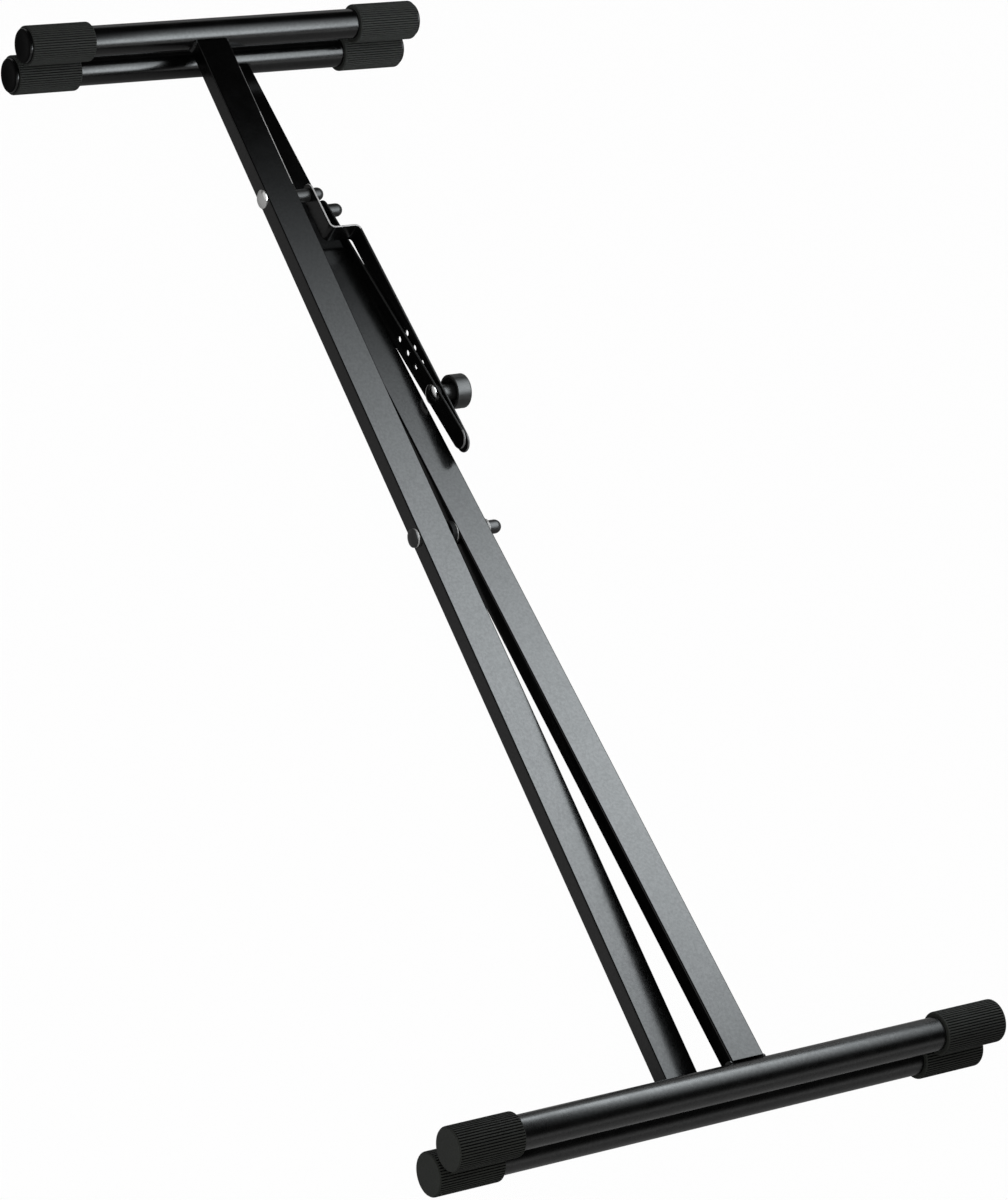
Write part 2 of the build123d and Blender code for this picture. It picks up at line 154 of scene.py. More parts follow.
def material(name, dark, pale, rough, grain, bump, gloss=(0.5, 0.5), **fixed):
    """Surface whose colour and roughness drift slowly, with a fine grain in its colour, relief and gloss.

    dark and pale are colours, rough and gloss (low, high) pairs, grain a scale per metre, bump a depth
    in metres. fixed sets other sockets of the shader.
    """
    made = bpy.data.materials.new(name)
    made.use_nodes = True
    tree = made.node_tree
    shader = tree.nodes["Principled BSDF"]
    for key, value in fixed.items():
        shader.inputs[key.replace("_", " ")].default_value = value
    place = node(tree, "ShaderNodeTexCoord").outputs["Object"]
    drift = node(tree, "ShaderNodeTexNoise", Scale=45.0, Detail=4.0, Roughness=0.6)
    fine = node(tree, "ShaderNodeTexNoise", Scale=grain, Detail=3.0, Roughness=0.55)
    tree.links.new(place, drift.inputs["Vector"])
    tree.links.new(place, fine.inputs["Vector"])
    mix = node(tree, "ShaderNodeMix", data_type="RGBA")
    mix.inputs["A"].default_value = (*dark, 1)
    mix.inputs["B"].default_value = (*pale, 1)
    blend = node(tree, "ShaderNodeMath", operation="MULTIPLY_ADD")
    blend.inputs[1].default_value = 0.5
    tree.links.new(ramp(tree, drift.outputs["Fac"], 0, 1), blend.inputs[0])
    half = node(tree, "ShaderNodeMath", operation="MULTIPLY")
    half.inputs[1].default_value = 0.5
    tree.links.new(ramp(tree, fine.outputs["Fac"], 0, 1), half.inputs[0])
    tree.links.new(half.outputs[0], blend.inputs[2])
    tree.links.new(blend.outputs[0], mix.inputs["Factor"])
    tree.links.new(mix.outputs["Result"], shader.inputs["Base Color"])
    tree.links.new(ramp(tree, drift.outputs["Fac"], rough[0], rough[1]), shader.inputs["Roughness"])
    if gloss[0] == gloss[1]:
        shader.inputs["Specular IOR Level"].default_value = gloss[0]
    else:
        tree.links.new(ramp(tree, fine.outputs["Fac"], *gloss), shader.inputs["Specular IOR Level"])
    relief = node(tree, "ShaderNodeBump", Strength=1.0, Distance=bump)
    tree.links.new(fine.outputs["Fac"], relief.inputs["Height"])
    tree.links.new(relief.outputs["Normal"], shader.inputs["Normal"])
    return made


def grey(level, red=1.0, blue=1.0):
    """Colour with this green value, and red and blue as shares of it."""
    return (level * red, level, level * blue)


# Each finish: dark and pale colour, roughness, grain, bump and, where it isn't even, gloss
finishes = {
    "leg_coat": (grey(0.0007), grey(0.0015), (0.16, 0.21), 420.0, 0.00002, (0.45, 0.55)),
    "weld_coat": (grey(0.003), grey(0.006), (0.20, 0.32), 900.0, 0.00004),
    "tube_coat": (grey(0.0007), grey(0.0015), (0.18, 0.24), 420.0, 0.00002, (0.52, 0.64)),
    "foot_coat": (grey(0.0007), grey(0.0015), (0.25, 0.31), 420.0, 0.00002, (0.52, 0.64)),
    "grip_rubber": (grey(0.022, 0.93, 0.9), grey(0.034, 0.93, 0.9),
                    (0.65, 0.80), 1100.0, 0.0001, (0.25, 0.35)),
    "cap_rubber": (grey(0.012, 0.93, 0.85), grey(0.019, 0.93, 0.85),
                   (0.65, 0.80), 1100.0, 0.0001, (0.2, 0.3)),
    # Painted shade for the grooves of the ribs, much darker than the rubber around them
    "groove_rubber": (grey(0.001), grey(0.002), (0.75, 0.85), 1100.0, 0.0001, (0.02, 0.04)),
    "plug_plastic": (grey(0.001), grey(0.002), (0.14, 0.20), 800.0, 0.00001, (0.55, 0.65)),
    "plug_face": (grey(0.002), grey(0.004), (0.35, 0.45), 1100.0, 0.00004, (0.02, 0.03)),
    "strap_coat": (grey(0.002), grey(0.004), (0.18, 0.26), 900.0, 0.000015),
    # Painted light on edges: a painted sheen, a dim painted highlight, painted shade for the straps' lower edges
    # and a bright painted highlight
    "dull_edge": (grey(0.014), grey(0.024), (0.30, 0.40), 900.0, 0.000015, (0.25, 0.35)),
    "scuffed_edge": (grey(0.10), grey(0.20), (0.30, 0.40), 900.0, 0.000015),
    "matt_black": (grey(0.001), grey(0.002), (0.6, 0.7), 900.0, 0.000015, (0.02, 0.04)),
    "worn_edge": (grey(0.50), grey(0.70), (0.40, 0.50), 1500.0, 0.000015),
    "bright_zinc": (grey(0.70), grey(0.82), (0.10, 0.16), 1500.0, 0.000012),
    "zinc": (grey(0.80), grey(0.90, 1.0, 0.98), (0.12, 0.20), 1500.0, 0.000012),
    "dark_bolt": (grey(0.02), grey(0.04), (0.3, 0.42), 1500.0, 0.00002),
    "dark_nylon": (grey(0.002), grey(0.004), (0.55, 0.65), 1500.0, 0.00002, (0.10, 0.15)),
    "pale_nylon": (grey(0.34), grey(0.42, 1.0, 0.97), (0.35, 0.45), 900.0, 0.00002),
    "cover_plastic": (grey(0.010), grey(0.016), (0.30, 0.40), 1800.0, 0.00002),
    "knob_plastic": (grey(0.010), grey(0.017), (0.30, 0.42), 1800.0, 0.00003),
}
metallic = {"bright_zinc": 1.0, "zinc": 0.75, "dark_bolt": 0.3}
materials = {}
for name, finish in finishes.items():
    materials[name] = material(name, *finish, Metallic=metallic.get(name, 0.0))


# Mesh building: points are in millimetres in a frame of the stand
def keep(name, body, slot, place, vertices, faces, replaced=(), sharp=32.0, finish="", areas=None):
    """Makes a smooth-shaded piece that rides on a body.

    finish names its material where that isn't the slot's; areas maps other materials to lists of faces.
    """
    mesh = bpy.data.meshes.new(name)
    mesh.from_pydata([tuple((place @ Vector(v)) * MM) for v in vertices], [], faces)
    mesh.materials.append(materials[finish or slot])
    for other, chosen in (areas or {}).items():
        mesh.materials.append(materials[other])
        for index in chosen:
            mesh.polygons[index].material_index = len(mesh.materials) - 1
    tidy = bmesh.new()
    tidy.from_mesh(mesh)
    bmesh.ops.remove_doubles(tidy, verts=tidy.verts, dist=1e-6)
    bmesh.ops.recalc_face_normals(tidy, faces=tidy.faces)
    tidy.to_mesh(mesh)
    tidy.free()
    mesh.shade_smooth()
    mesh.set_sharp_from_angle(angle=radians(sharp))
    piece = bpy.data.objects.new(name, mesh)
    bpy.context.collection.objects.link(piece)
    weigh = piece.modifiers.new("flat_faces", "WEIGHTED_NORMAL")
    weigh.keep_sharp = True
    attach(piece, body)
    if replaced:
        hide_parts(*replaced)


def rounded(points, steps=5):
    """Rounds a polyline: each point is (x, r, rounding radius)."""
    out = []
    for i, (x, r, radius) in enumerate(points):
        here = Vector((x, r))
        if radius <= 0 or i in (0, len(points) - 1):
            out.append((x, r))
            continue
        before = (Vector(points[i - 1][:2]) - here).normalized()
        after = (Vector(points[i + 1][:2]) - here).normalized()
        half = before.angle(after) / 2
        reach = radius / max(sin(half), 1e-6)
        centre = here + (before + after).normalized() * reach
        start = here + before * (reach * cos(half))
        end = here + after * (reach * cos(half))
        for k in range(steps + 1):
            spoke = (start - centre).lerp(end - centre, k / steps).normalized() * radius
            out.append(tuple(centre + spoke))
    return out


def dome(edge_x, edge_r, apex_x, steps=10):
    """Spherical arc from an edge to its apex on the axis."""
    height = abs(edge_x - apex_x)
    sphere = (edge_r**2 + height**2) / (2 * height)
    full = atan2(edge_r, sphere - height)
    side = 1 if edge_x > apex_x else -1
    arc = []
    for k in range(steps + 1):
        angle = full * (1 - k / steps)
        arc.append((apex_x + side * sphere * (1 - cos(angle)), sphere * sin(angle)))
    return arc


def lathe(profile, y=0.0, around=96, relief=None, close=False):
    """Turns an (x, r) profile about the cross axis at y. relief(angle, index) lowers the radius."""
    vertices, faces = [], []
    count = len(profile)
    for i in range(around):
        angle = 2 * pi * i / around
        for k, (x, r) in enumerate(profile):
            drop = relief(angle, k) if relief else 0.0
            vertices.append((x, y + (r - drop) * cos(angle), (r - drop) * sin(angle)))
    for i in range(around):
        j = (i + 1) % around
        for k in range(count if close else count - 1):
            n = (k + 1) % count
            quad = (i * count + k, j * count + k, j * count + n, i * count + n)
            faces.append(quad)
    return vertices, faces


def turned(name, body, slot, place, y, profile, replaced, finish="", **options):
    """Lathed piece that stands for a node."""
    vertices, faces = lathe(profile, y, **options)
    keep(name, body, slot, place, vertices, faces, replaced, finish=finish)


# Legs: box tubes with rounded corners and open ends
def corner_loop(width, depth, radius, middle, steps=6):
    """Rectangle with rounded corners as (x, z) points, from its right side over its top."""
    loop = []
    corners = ((1, 1, 0), (-1, 1, 90), (-1, -1, 180), (1, -1, 270))
    for sx, sz, turn in corners:
        for k in range(steps + 1):
            angle = radians(turn + 90 * k / steps)
            loop.append((
                middle + sx * (width / 2 - radius) + radius * cos(angle),
                sz * (depth / 2 - radius) + radius * sin(angle),
            ))
    return loop


def box_leg(letter, place, left):
    """Box tube of a leg, between its foot tube and its support tube."""
    low, high = -FOOT_REACH + TUBE_R, SUPPORT_REACH - TUBE_R
    middle = left + LEG_WIDTH / 2
    outer = corner_loop(LEG_WIDTH, LEG_DEPTH, LEG_CORNER, middle)
    inner_corner = max(LEG_CORNER - LEG_WALL, LEG_WALL / 3)
    inner = corner_loop(LEG_WIDTH - 2 * LEG_WALL, LEG_DEPTH - 2 * LEG_WALL, inner_corner, middle)
    along = (low, low + FOOT_RING, 0, HIGHLIGHT_START, high - DIM_HIGHLIGHT_START, high - DIM_HIGHLIGHT_END, high)
    stations = [(outer, y) for y in along] + [(inner, high), (inner, low)]
    vertices, faces = [], []
    for loop, y in stations:
        vertices += [(x, y, z) for x, z in loop]
    count = len(outer)
    for s in range(len(stations)):
        t = (s + 1) % len(stations)
        for k in range(count):
            n = (k + 1) % count
            faces.append((s * count + k, s * count + n, t * count + n, t * count + k))
    areas = {}
    if letter == "a":
        # The upper right corner, with a painted highlight above the strap's pin and a dimmer painted highlight
        # towards the end
        for finish, y in (("worn_edge", HIGHLIGHT_START), ("scuffed_edge", high - DIM_HIGHLIGHT_START)):
            areas[finish] = [along.index(y) * count + k for k in range(2, 6)]
    name = f"leg_{letter}_box"
    keep(name, f"leg_{letter}", "leg_coat", place, vertices, faces, (f"leg_{letter}_tube",), areas=areas)


def weld_bead(letter, place, left, y, where):
    """Two rippled beads that follow the round tube beside the leg."""
    side = -1 if y > 0 else 1
    reach = asin((LEG_DEPTH / 2 - 1.0) / TUBE_R)
    vertices, faces = [], []
    along, around = 44, 16
    for x in (left, left + LEG_WIDTH):
        base = len(vertices)
        for i in range(along + 1):
            angle = -reach + 2 * reach * i / along
            end = 1 - abs(2 * i / along - 1) ** 8
            ripple = 0.86 + 0.08 * sin(i * 1.45) + 0.04 * sin(i * 0.37 + x)
            size = WELD_R * ripple * (0.35 + 0.65 * end)
            for k in range(around):
                turn = 2 * pi * k / around
                r = TUBE_R + size * cos(turn) * 0.98
                vertices.append((x + size * sin(turn), y + side * r * cos(angle), r * sin(angle)))
        for i in range(along):
            for k in range(around):
                n = (k + 1) % around
                faces.append((base + i * around + k, base + i * around + n,
                              base + (i + 1) * around + n, base + (i + 1) * around + k))
        faces.append(tuple(base + k for k in range(around)))
        faces.append(tuple(base + along * around + k for k in range(around)))
    name = f"weld_bead_{where}_{letter}"
    keep(name, f"leg_{letter}", "weld_coat", place, vertices, faces, (f"weld_{where}_{letter}",), 60)


def rib_relief(weights):
    """Narrow rounded grooves between broad lands; weights say how much of the depth each ring has."""
    def drop(angle, k):
        phase = (angle * RIB_COUNT / (2 * pi)) % 1.0
        off = abs(phase - 0.5) / GROOVE_HALF
        groove = 0.5 + 0.5 * cos(pi * off) if off < 1 else 0.0
        return weights[k] * RIB_DEPTH * groove
    return drop


def soft_start(start, side):
    """Rounded inner end of a rubber sleeve or cap, up to its full radius."""
    return [(start + side * along, GRIP_R - drop) for along, drop in SOFT_START]


def ribbed(name, body, place, y, profile, weights, dark, close, finish="", face=None):
    """Turned rubber with ribs; painted shade goes on the listed tenths of a rib's pitch that lie in its groove.

    From profile point face on, if given, the surface takes the paler rubber of the sleeves: painted light that
    makes a cap's end lighter than its own ribbed sides.
    """
    around = RIB_COUNT * RIB_STEPS
    vertices, faces = lathe(profile, y, around=around, relief=rib_relief(weights), close=close)
    count = len(profile) if close else len(profile) - 1
    grooves = [i * count + k for i in range(around) if i % RIB_STEPS in dark
               for k in range(count) if min(weights[k], weights[(k + 1) % len(weights)]) > GROOVE_SHADE]
    paler_end = [i for i in range(len(faces)) if face and i % count >= face]
    keep(name + "_ribbed", body, "grip_rubber", place, vertices, faces, (name,), 40, finish,
         {"groove_rubber": grooves, "grip_rubber": paler_end})


def round_bar(letter, place, y, length, where):
    """Round tube of the supports or the feet, open at its ends."""
    end = length / 2
    profile = [(-end, TUBE_R), (-end / 2, TUBE_R), (0, TUBE_R), (end / 2, TUBE_R), (end, TUBE_R),
               (end, TUBE_R - TUBE_WALL), (-end, TUBE_R - TUBE_WALL)]
    vertices, faces = lathe(profile, y, around=128, close=True)
    keep(f"{where}_bar_{letter}", f"leg_{letter}", "tube_coat", place, vertices, faces,
         (f"{where}_tube_{letter}",), finish="foot_coat" if where == "foot" else "")


def support_grip(letter, hand, side, place):
    """Ribbed sleeve with a low lip around the plug."""
    end = side * SUPPORT_TUBE / 2
    start = end - side * GRIP_LENGTH
    lip = end + side * SLEEVE_LIP
    profile = [(start, TUBE_R), *soft_start(start, side)]
    profile += [(start + side * RUBBER_RING, GRIP_R), (end - side * RUBBER_RING, GRIP_R)]
    profile += [(lip - side * back, GRIP_R - drop) for back, drop in SOFT_LIP]
    profile += [(lip, SLEEVE_LIP_R), (end, SLEEVE_LIP_R), (end, TUBE_R)]
    weights = [0, 0, 0, 0.35, 1, 1, 1, 1, 1, 0.4, 0, 0, 0]
    name = f"support_grip_{letter}_{hand}"
    ribbed(name, f"leg_{letter}", place, SUPPORT_REACH, profile, weights, (4, 5), True)


def support_plug(letter, hand, side, place):
    """Glossy plug with a round rim and a matt, dished face."""
    end = side * SUPPORT_TUBE / 2
    face = end + side * PLUG_THICK
    stem = end - side * PLUG_STEM
    profile = [(stem, 0), (stem, TUBE_R - TUBE_WALL), (end, TUBE_R - TUBE_WALL)]
    profile += rounded([
        (end, TUBE_R, 0), (end, PLUG_R, PLUG_BACK), (face, PLUG_R, PLUG_ROUND),
        (face, PLUG_FACE_R + PLUG_RIM, 0), (face - side * DISH_STEP, PLUG_FACE_R, 0),
    ], PLUG_STEPS)
    flat = len(profile) - 3 - PLUG_STEPS // 2  # matt from halfway round the rim
    profile += dome(face - side * DISH_STEP, PLUG_FACE_R, face - side * PLUG_DISH)[1:]
    vertices, faces = lathe(profile, SUPPORT_REACH)
    matt = [i for i in range(len(faces)) if i % (len(profile) - 1) >= flat]
    name = f"support_plug_{letter}_{hand}"
    keep(name + "_cap", f"leg_{letter}", "plug_plastic", place, vertices, faces, (name,),
         areas={"plug_face": matt})


def foot_cap(letter, hand, side, place):
    """Ribbed cap with a smooth, slightly crowned end."""
    tube_end = side * FOOT_TUBE / 2
    outer = tube_end + side * CAP_END
    start = outer - side * CAP_LENGTH
    edge = outer - side * CAP_EDGE
    root = GRIP_R - RIB_DEPTH
    profile = [(tube_end, 0), (tube_end, TUBE_R), (start, TUBE_R), *soft_start(start, side)]
    profile.append((start + side * RUBBER_RING, GRIP_R))
    profile += [(edge - side * back, GRIP_R - drop) for back, drop in SOFT_EDGE]
    weights = [0, 0, 0, 0, 0, 0.35, 1, 1, 1, 1, 0.7]
    # From here on the cap's end gets the paler rubber of the sleeves, painted light
    paler_from = len(profile) + CAP_STEPS // 2
    crown = CAP_EDGE - CAP_CROWN
    for k in range(CAP_STEPS + 1):
        turn = pi / 2 * k / CAP_STEPS
        profile.append((edge + side * crown * sin(turn), root - CAP_TURN_IN * (1 - cos(turn))))
    profile += dome(outer - side * CAP_CROWN, root - CAP_TURN_IN, outer, 6)[1:]
    weights += [0] * (len(profile) - len(weights))
    ribbed(f"foot_cap_{letter}_{hand}", f"leg_{letter}", place, -FOOT_REACH, profile, weights,
           (3, 4, 5, 6), False, "cap_rubber", paler_from)


for letter, place, left in (("a", frame_a, leg_a_left), ("b", frame_b, leg_b_left)):
    box_leg(letter, place, left)
    for where, y, length in (("support", SUPPORT_REACH, SUPPORT_TUBE), ("foot", -FOOT_REACH, FOOT_TUBE)):
        weld_bead(letter, place, left, y, where)
        round_bar(letter, place, y, length, where)
    for hand, side in (("left", -1), ("right", 1)):
        support_grip(letter, hand, side, place)
        support_plug(letter, hand, side, place)
        foot_cap(letter, hand, side, place)


# Pivot, strap pins and elbow
def ring(name, body, slot, place, y, start, end, outer, inner, soft=0.3):
    """Washer, bush or spacer with softened outer edges."""
    profile = rounded([(start, inner, 0), (start, outer, soft), (end, outer, soft), (end, inner, 0)], 3)
    vertices, faces = lathe(profile, y, around=64, close=True)
    keep(name + "_ring", body, slot, place, vertices, faces, (name,))


def headed(name, body, slot, place, y, head_end, height, radius, steps, finish=""):
    """Mushroom-headed bolt facing -X with a stepped shank."""
    crown, rim = head_end - height, head_end - height * 0.3
    profile = list(reversed(dome(rim, radius, crown)))
    profile += [(rim + height * 0.12, radius + 0.02), (head_end - 0.15, radius), (head_end, radius - 0.15)]
    for end, shank in steps:
        profile += [(head_end, shank), (end - BOLT_CHAMFER, shank), (end, shank - BOLT_CHAMFER)]
        head_end = end
    profile.append((head_end, 0))
    turned(name + "_headed", body, slot, place, y, profile, (name,), finish, around=72)


def cover(name, body, place, y, start, height):
    """Nut cover with a round end and a small foot flange."""
    end = start + height
    shoulder = end - COVER_R + 0.15
    pocket = start + NUT_H + THREAD_TAIL
    profile = [(pocket, 0), (pocket, NUT_R), (start, NUT_R), (start, COVER_R - 0.2), (start + 0.2, COVER_R),
               (start + FLANGE_END, COVER_R), (start + FLANGE_END + 0.3, COVER_R - FLANGE_STEP)]
    profile += dome(shoulder, COVER_R - 0.15, end, 16)
    turned(name + "_dome", body, "cover_plastic", place, y, profile, (name,), around=72)


def nut(name, body, place, y, start):
    """Hexagon nut with chamfered corners."""
    vertices, faces = [], []
    rings = ((0, 0.94), (NUT_CHAMFER, 1.0), (NUT_H - NUT_CHAMFER, 1.0), (NUT_H, 0.94))
    for x, scale in rings:
        for k in range(6):
            angle = pi / 3 * k
            vertices.append((start + x, y + NUT_R * scale * cos(angle), NUT_R * scale * sin(angle)))
    for s in range(3):
        for k in range(6):
            n = (k + 1) % 6
            faces.append((s * 6 + k, s * 6 + n, s * 6 + 6 + n, s * 6 + 6 + k))
    faces += [tuple(range(6)), tuple(range(18, 24))]
    keep(name + "_hex", body, "zinc", place, vertices, faces, (name,))


cover_start = leg_b_right + WASHER_OUTER_H
pivot_steps = ((leg_b_right, PIVOT_R), (cover_start + NUT_H + THREAD_TAIL, PIN_R))
head_end = leg_a_left - PLAY - HEAD_WASHER_H
headed("pivot_bolt", "leg_b", "dark_bolt", frame_b, 0, head_end, PIVOT_HEAD_H, PIVOT_HEAD_R, pivot_steps)
ring("pivot_washer_head", "leg_b", "pale_nylon", frame_b, 0, head_end, leg_a_left - PLAY,
     HEAD_WASHER_R, PIVOT_R)
bush_r = PIVOT_R + RUNNING
ring("pivot_bush", "leg_a", "dark_nylon", frame_a, 0, leg_a_left, leg_a_right, bush_r + 2, bush_r)
pale_start = leg_b_left - WASHER_PALE_H
ring("pivot_washer_dark", "leg_a", "dark_nylon", frame_a, 0, leg_a_right, pale_start - PLAY,
     WASHER_DARK_R, bush_r)
ring("pivot_washer_pale", "leg_b", "pale_nylon", frame_b, 0, pale_start, leg_b_left, WASHER_PALE_R, PIVOT_R)
ring("pivot_washer_outer", "leg_b", "pale_nylon", frame_b, 0, leg_b_right, cover_start,
     WASHER_OUTER_R, PIN_R, 0.2)
nut("pivot_nut", "leg_b", frame_b, 0, cover_start)
cover("pivot_nut_cover", "leg_b", frame_b, 0, cover_start, PIVOT_COVER_H)

for letter, place, left, right, strap_left, head, cover_h in (
    ("a", frame_a, leg_a_left, leg_a_right, strap_a_left, PIN_HEAD_H, STRAP_A_COVER_H),
    ("b", frame_b, leg_b_left, leg_b_right, strap_b_left, INNER_HEAD_H, STRAP_B_COVER_H),
):
    body = f"leg_{letter}"
    nut_start = strap_left + STRAP_THICK + PLAY
    steps = ((nut_start + NUT_H + THREAD_TAIL, PIN_R),)
    headed(f"strap_pin_{letter}", body, "zinc", place, PIN_REACH, left, head, PIN_HEAD_R, steps)
    ring(f"strap_spacer_{letter}", body, "dark_bolt", place, PIN_REACH, right, strap_left - PLAY,
         SPACER_R, PIN_R)
    nut(f"strap_nut_{letter}", body, place, PIN_REACH, nut_start)
    cover(f"strap_nut_cover_{letter}", body, place, PIN_REACH, nut_start, cover_h)

headed("elbow_bolt", "strap_b", "zinc", strap_frame_b, -strap_b_reach, strap_b_left,
       ELBOW_HEAD_H, ELBOW_HEAD_R, ((washer_end, ELBOW_R),), "bright_zinc")
ring("elbow_washer", "strap_b", "dark_nylon", strap_frame_b, -strap_b_reach, strap_b_right, washer_end,
     ELBOW_WASHER_R, ELBOW_R)


# Lock straps: a flat pattern with rounded edges and holes, then bent along a path
def edge_finishes(flat, length, highlight_end):
    """Faces of a strap's edges by painted light: painted shade under the lower edge, a bright painted highlight
    on the upper edge's crest as far as the given distance and a painted sheen elsewhere on it, a dim painted
    highlight on the upper part of the ends and a painted sheen on their lower part.
    """
    areas = {"worn_edge": [], "scuffed_edge": [], "dull_edge": [], "matt_black": []}
    for i, face in enumerate(flat.faces):
        beyond = [v.co.x - min(max(v.co.x, 0.0), length) for v in face.verts]
        inset = max(STRAP_HALF - hypot(b, v.co.y) for b, v in zip(beyond, face.verts))
        middle = face.calc_center_median()
        if max(beyond) < 0.01 and middle.y < 0:
            if inset < STRAP_SOFT * 1.01 and abs(middle.z) < STRAP_THICK / 2 - 0.01:
                areas["matt_black"].append(i)
        elif inset > STRAP_SOFT * 0.75:
            continue
        elif max(beyond) > 0.01:
            areas["scuffed_edge" if middle.y > -0.4 * STRAP_HALF else "dull_edge"].append(i)
        else:
            highlighted = max(v.co.x for v in face.verts) < highlight_end + 0.01 and inset < STRAP_SOFT * 0.31
            areas["worn_edge" if highlighted else "dull_edge"].append(i)
    return areas


def strap(name, body, place, length, holes, bend, cuts, highlight_end=-inf):
    """length runs from the pin to the centre of the far rounded end; holes are (distance, radius).

    The upper edge has a bright painted highlight as far as the distance given last and a painted sheen beyond,
    with a dim painted highlight on the ends and painted shade under the lower edge.
    """
    flat = bmesh.new()
    soft = STRAP_SOFT
    turns = [pi / 2 * k / 4 for k in range(5)]
    shell = [(soft * (1 - sin(turn)), STRAP_THICK / 2 - soft * (1 - cos(turn))) for turn in turns]
    levels = shell + [(inset, -height) for inset, height in reversed(shell)]

    def outline(inset):
        r = STRAP_HALF - inset
        points = [(-r * sin(pi * k / 32), r * cos(pi * k / 32)) for k in range(33)]
        return points + [(length + r * sin(pi * k / 32), -r * cos(pi * k / 32)) for k in range(33)]

    def hole(centre, radius):
        def loop(inset):
            r = radius + inset
            return [(centre + r * cos(2 * pi * k / 40), r * sin(2 * pi * k / 40)) for k in range(40)]
        return loop

    faces_edges = ([], [])
    for loop in [outline] + [hole(*h) for h in holes]:
        rings = []
        for inset, height in levels:
            rings.append([flat.verts.new((s, z, height)) for s, z in loop(inset)])
        for a, b in zip(rings, rings[1:]):
            for k in range(len(a)):
                n = (k + 1) % len(a)
                flat.faces.new((a[k], a[n], b[n], b[k]))
        for side, loop_verts in zip(faces_edges, (rings[0], rings[-1])):
            for k in range(len(loop_verts)):
                side.append(flat.edges.get((loop_verts[k], loop_verts[(k + 1) % len(loop_verts)])))
    for side in faces_edges:
        bmesh.ops.triangle_fill(flat, use_beauty=True, use_dissolve=False, edges=side)
    for s in cuts:
        everything = flat.verts[:] + flat.edges[:] + flat.faces[:]
        bmesh.ops.bisect_plane(flat, geom=everything, dist=1e-5, plane_co=(s, 0, 0), plane_no=(1, 0, 0))
    bmesh.ops.recalc_face_normals(flat, faces=flat.faces)
    flat.verts.index_update()
    vertices = [bend(v.co.x, v.co.z) + (v.co.y,) for v in flat.verts]
    faces = [[v.index for v in f.verts] for f in flat.faces]
    areas = edge_finishes(flat, length, highlight_end)
    flat.free()
    keep(name + "_strip", body, "strap_coat", place, vertices, faces, (name,), 35, areas=areas)


def bent_path(corners, radius):
    """Runs and arcs of a path through (x, y) corners: a list of (length, start, heading, curvature)."""
    pieces = []
    points = [Vector(c) for c in corners]
    here = points[0]
    for i in range(1, len(points)):
        heading = (points[i] - here).normalized()
        if i == len(points) - 1:
            pieces.append(((points[i] - here).length, here, heading, 0.0))
            break
        onward = (points[i + 1] - points[i]).normalized()
        turn = heading.angle_signed(onward)
        cut = radius * abs(sin(turn / 2) / cos(turn / 2))
        stop = points[i] - heading * cut
        pieces.append(((stop - here).length, here, heading, 0.0))
        pieces.append((abs(turn) * radius, stop, heading, (1 if turn > 0 else -1) / radius))
        here = points[i] + onward * cut
    return pieces


def follow(pieces):
    """Maps a distance along a bent path and a height off it to (x, y)."""
    def bend(s, height):
        for index, (length, start, heading, curve) in enumerate(pieces):
            if s <= length or index == len(pieces) - 1:
                break
            s -= length
        side = Vector((-heading.y, heading.x))
        if curve == 0.0:
            return tuple(start + heading * s + side * height)
        sign = 1 if curve > 0 else -1
        radius = 1 / abs(curve)
        turn = s * abs(curve)
        outward = side * sign
        spoke = outward * cos(turn) + heading * sin(turn)
        return tuple(start - outward * radius + spoke * (radius + sign * height))
    return bend


middle_a = strap_a_left + STRAP_THICK / 2
run_middle = run_start + STRAP_THICK / 2
far = strap_a_reach + STRAP_TAIL
far_x = run_middle + run_slope * (far - JOGGLE_START)
corners_a = [(middle_a, 0), (middle_a, -JOGGLE_START), (run_middle, -JOGGLE_START), (far_x, -far)]
path = bent_path(corners_a, BEND_R)
arc_cuts, along_path = [], 0.0
for length, start, heading, curve in path:
    if curve:
        arc_cuts += [along_path + length * k / 10 for k in range(11)]
    along_path += length
to_elbow = along_path - hypot(STRAP_TAIL, run_slope * STRAP_TAIL)
holes_a = [(0, PIN_R + RUNNING), (to_elbow, ELBOW_R + RUNNING)]
holes_a += [(to_elbow - HOLE_FIRST - i * HOLE_PITCH, HOLE_R) for i in range(SPARE_HOLES)]
# Strap A's upper edge has the bright painted highlight as far as the end of its second bend
strap("strap_a", "strap_a", strap_frame_a, along_path, holes_a, follow(path), arc_cuts, arc_cuts[-1])

middle_b = strap_b_left + STRAP_THICK / 2
holes_b = [(0, PIN_R + RUNNING), (strap_b_reach, ELBOW_R)]
holes_b += [(strap_b_reach - HOLE_FIRST - i * HOLE_PITCH, HOLE_R) for i in range(SPARE_HOLES)]
straight = bent_path([(middle_b, 0), (middle_b, -strap_b_reach - STRAP_TAIL)], BEND_R)
strap("strap_b", "strap_b", strap_frame_b, strap_b_reach + STRAP_TAIL, holes_b, follow(straight), [])

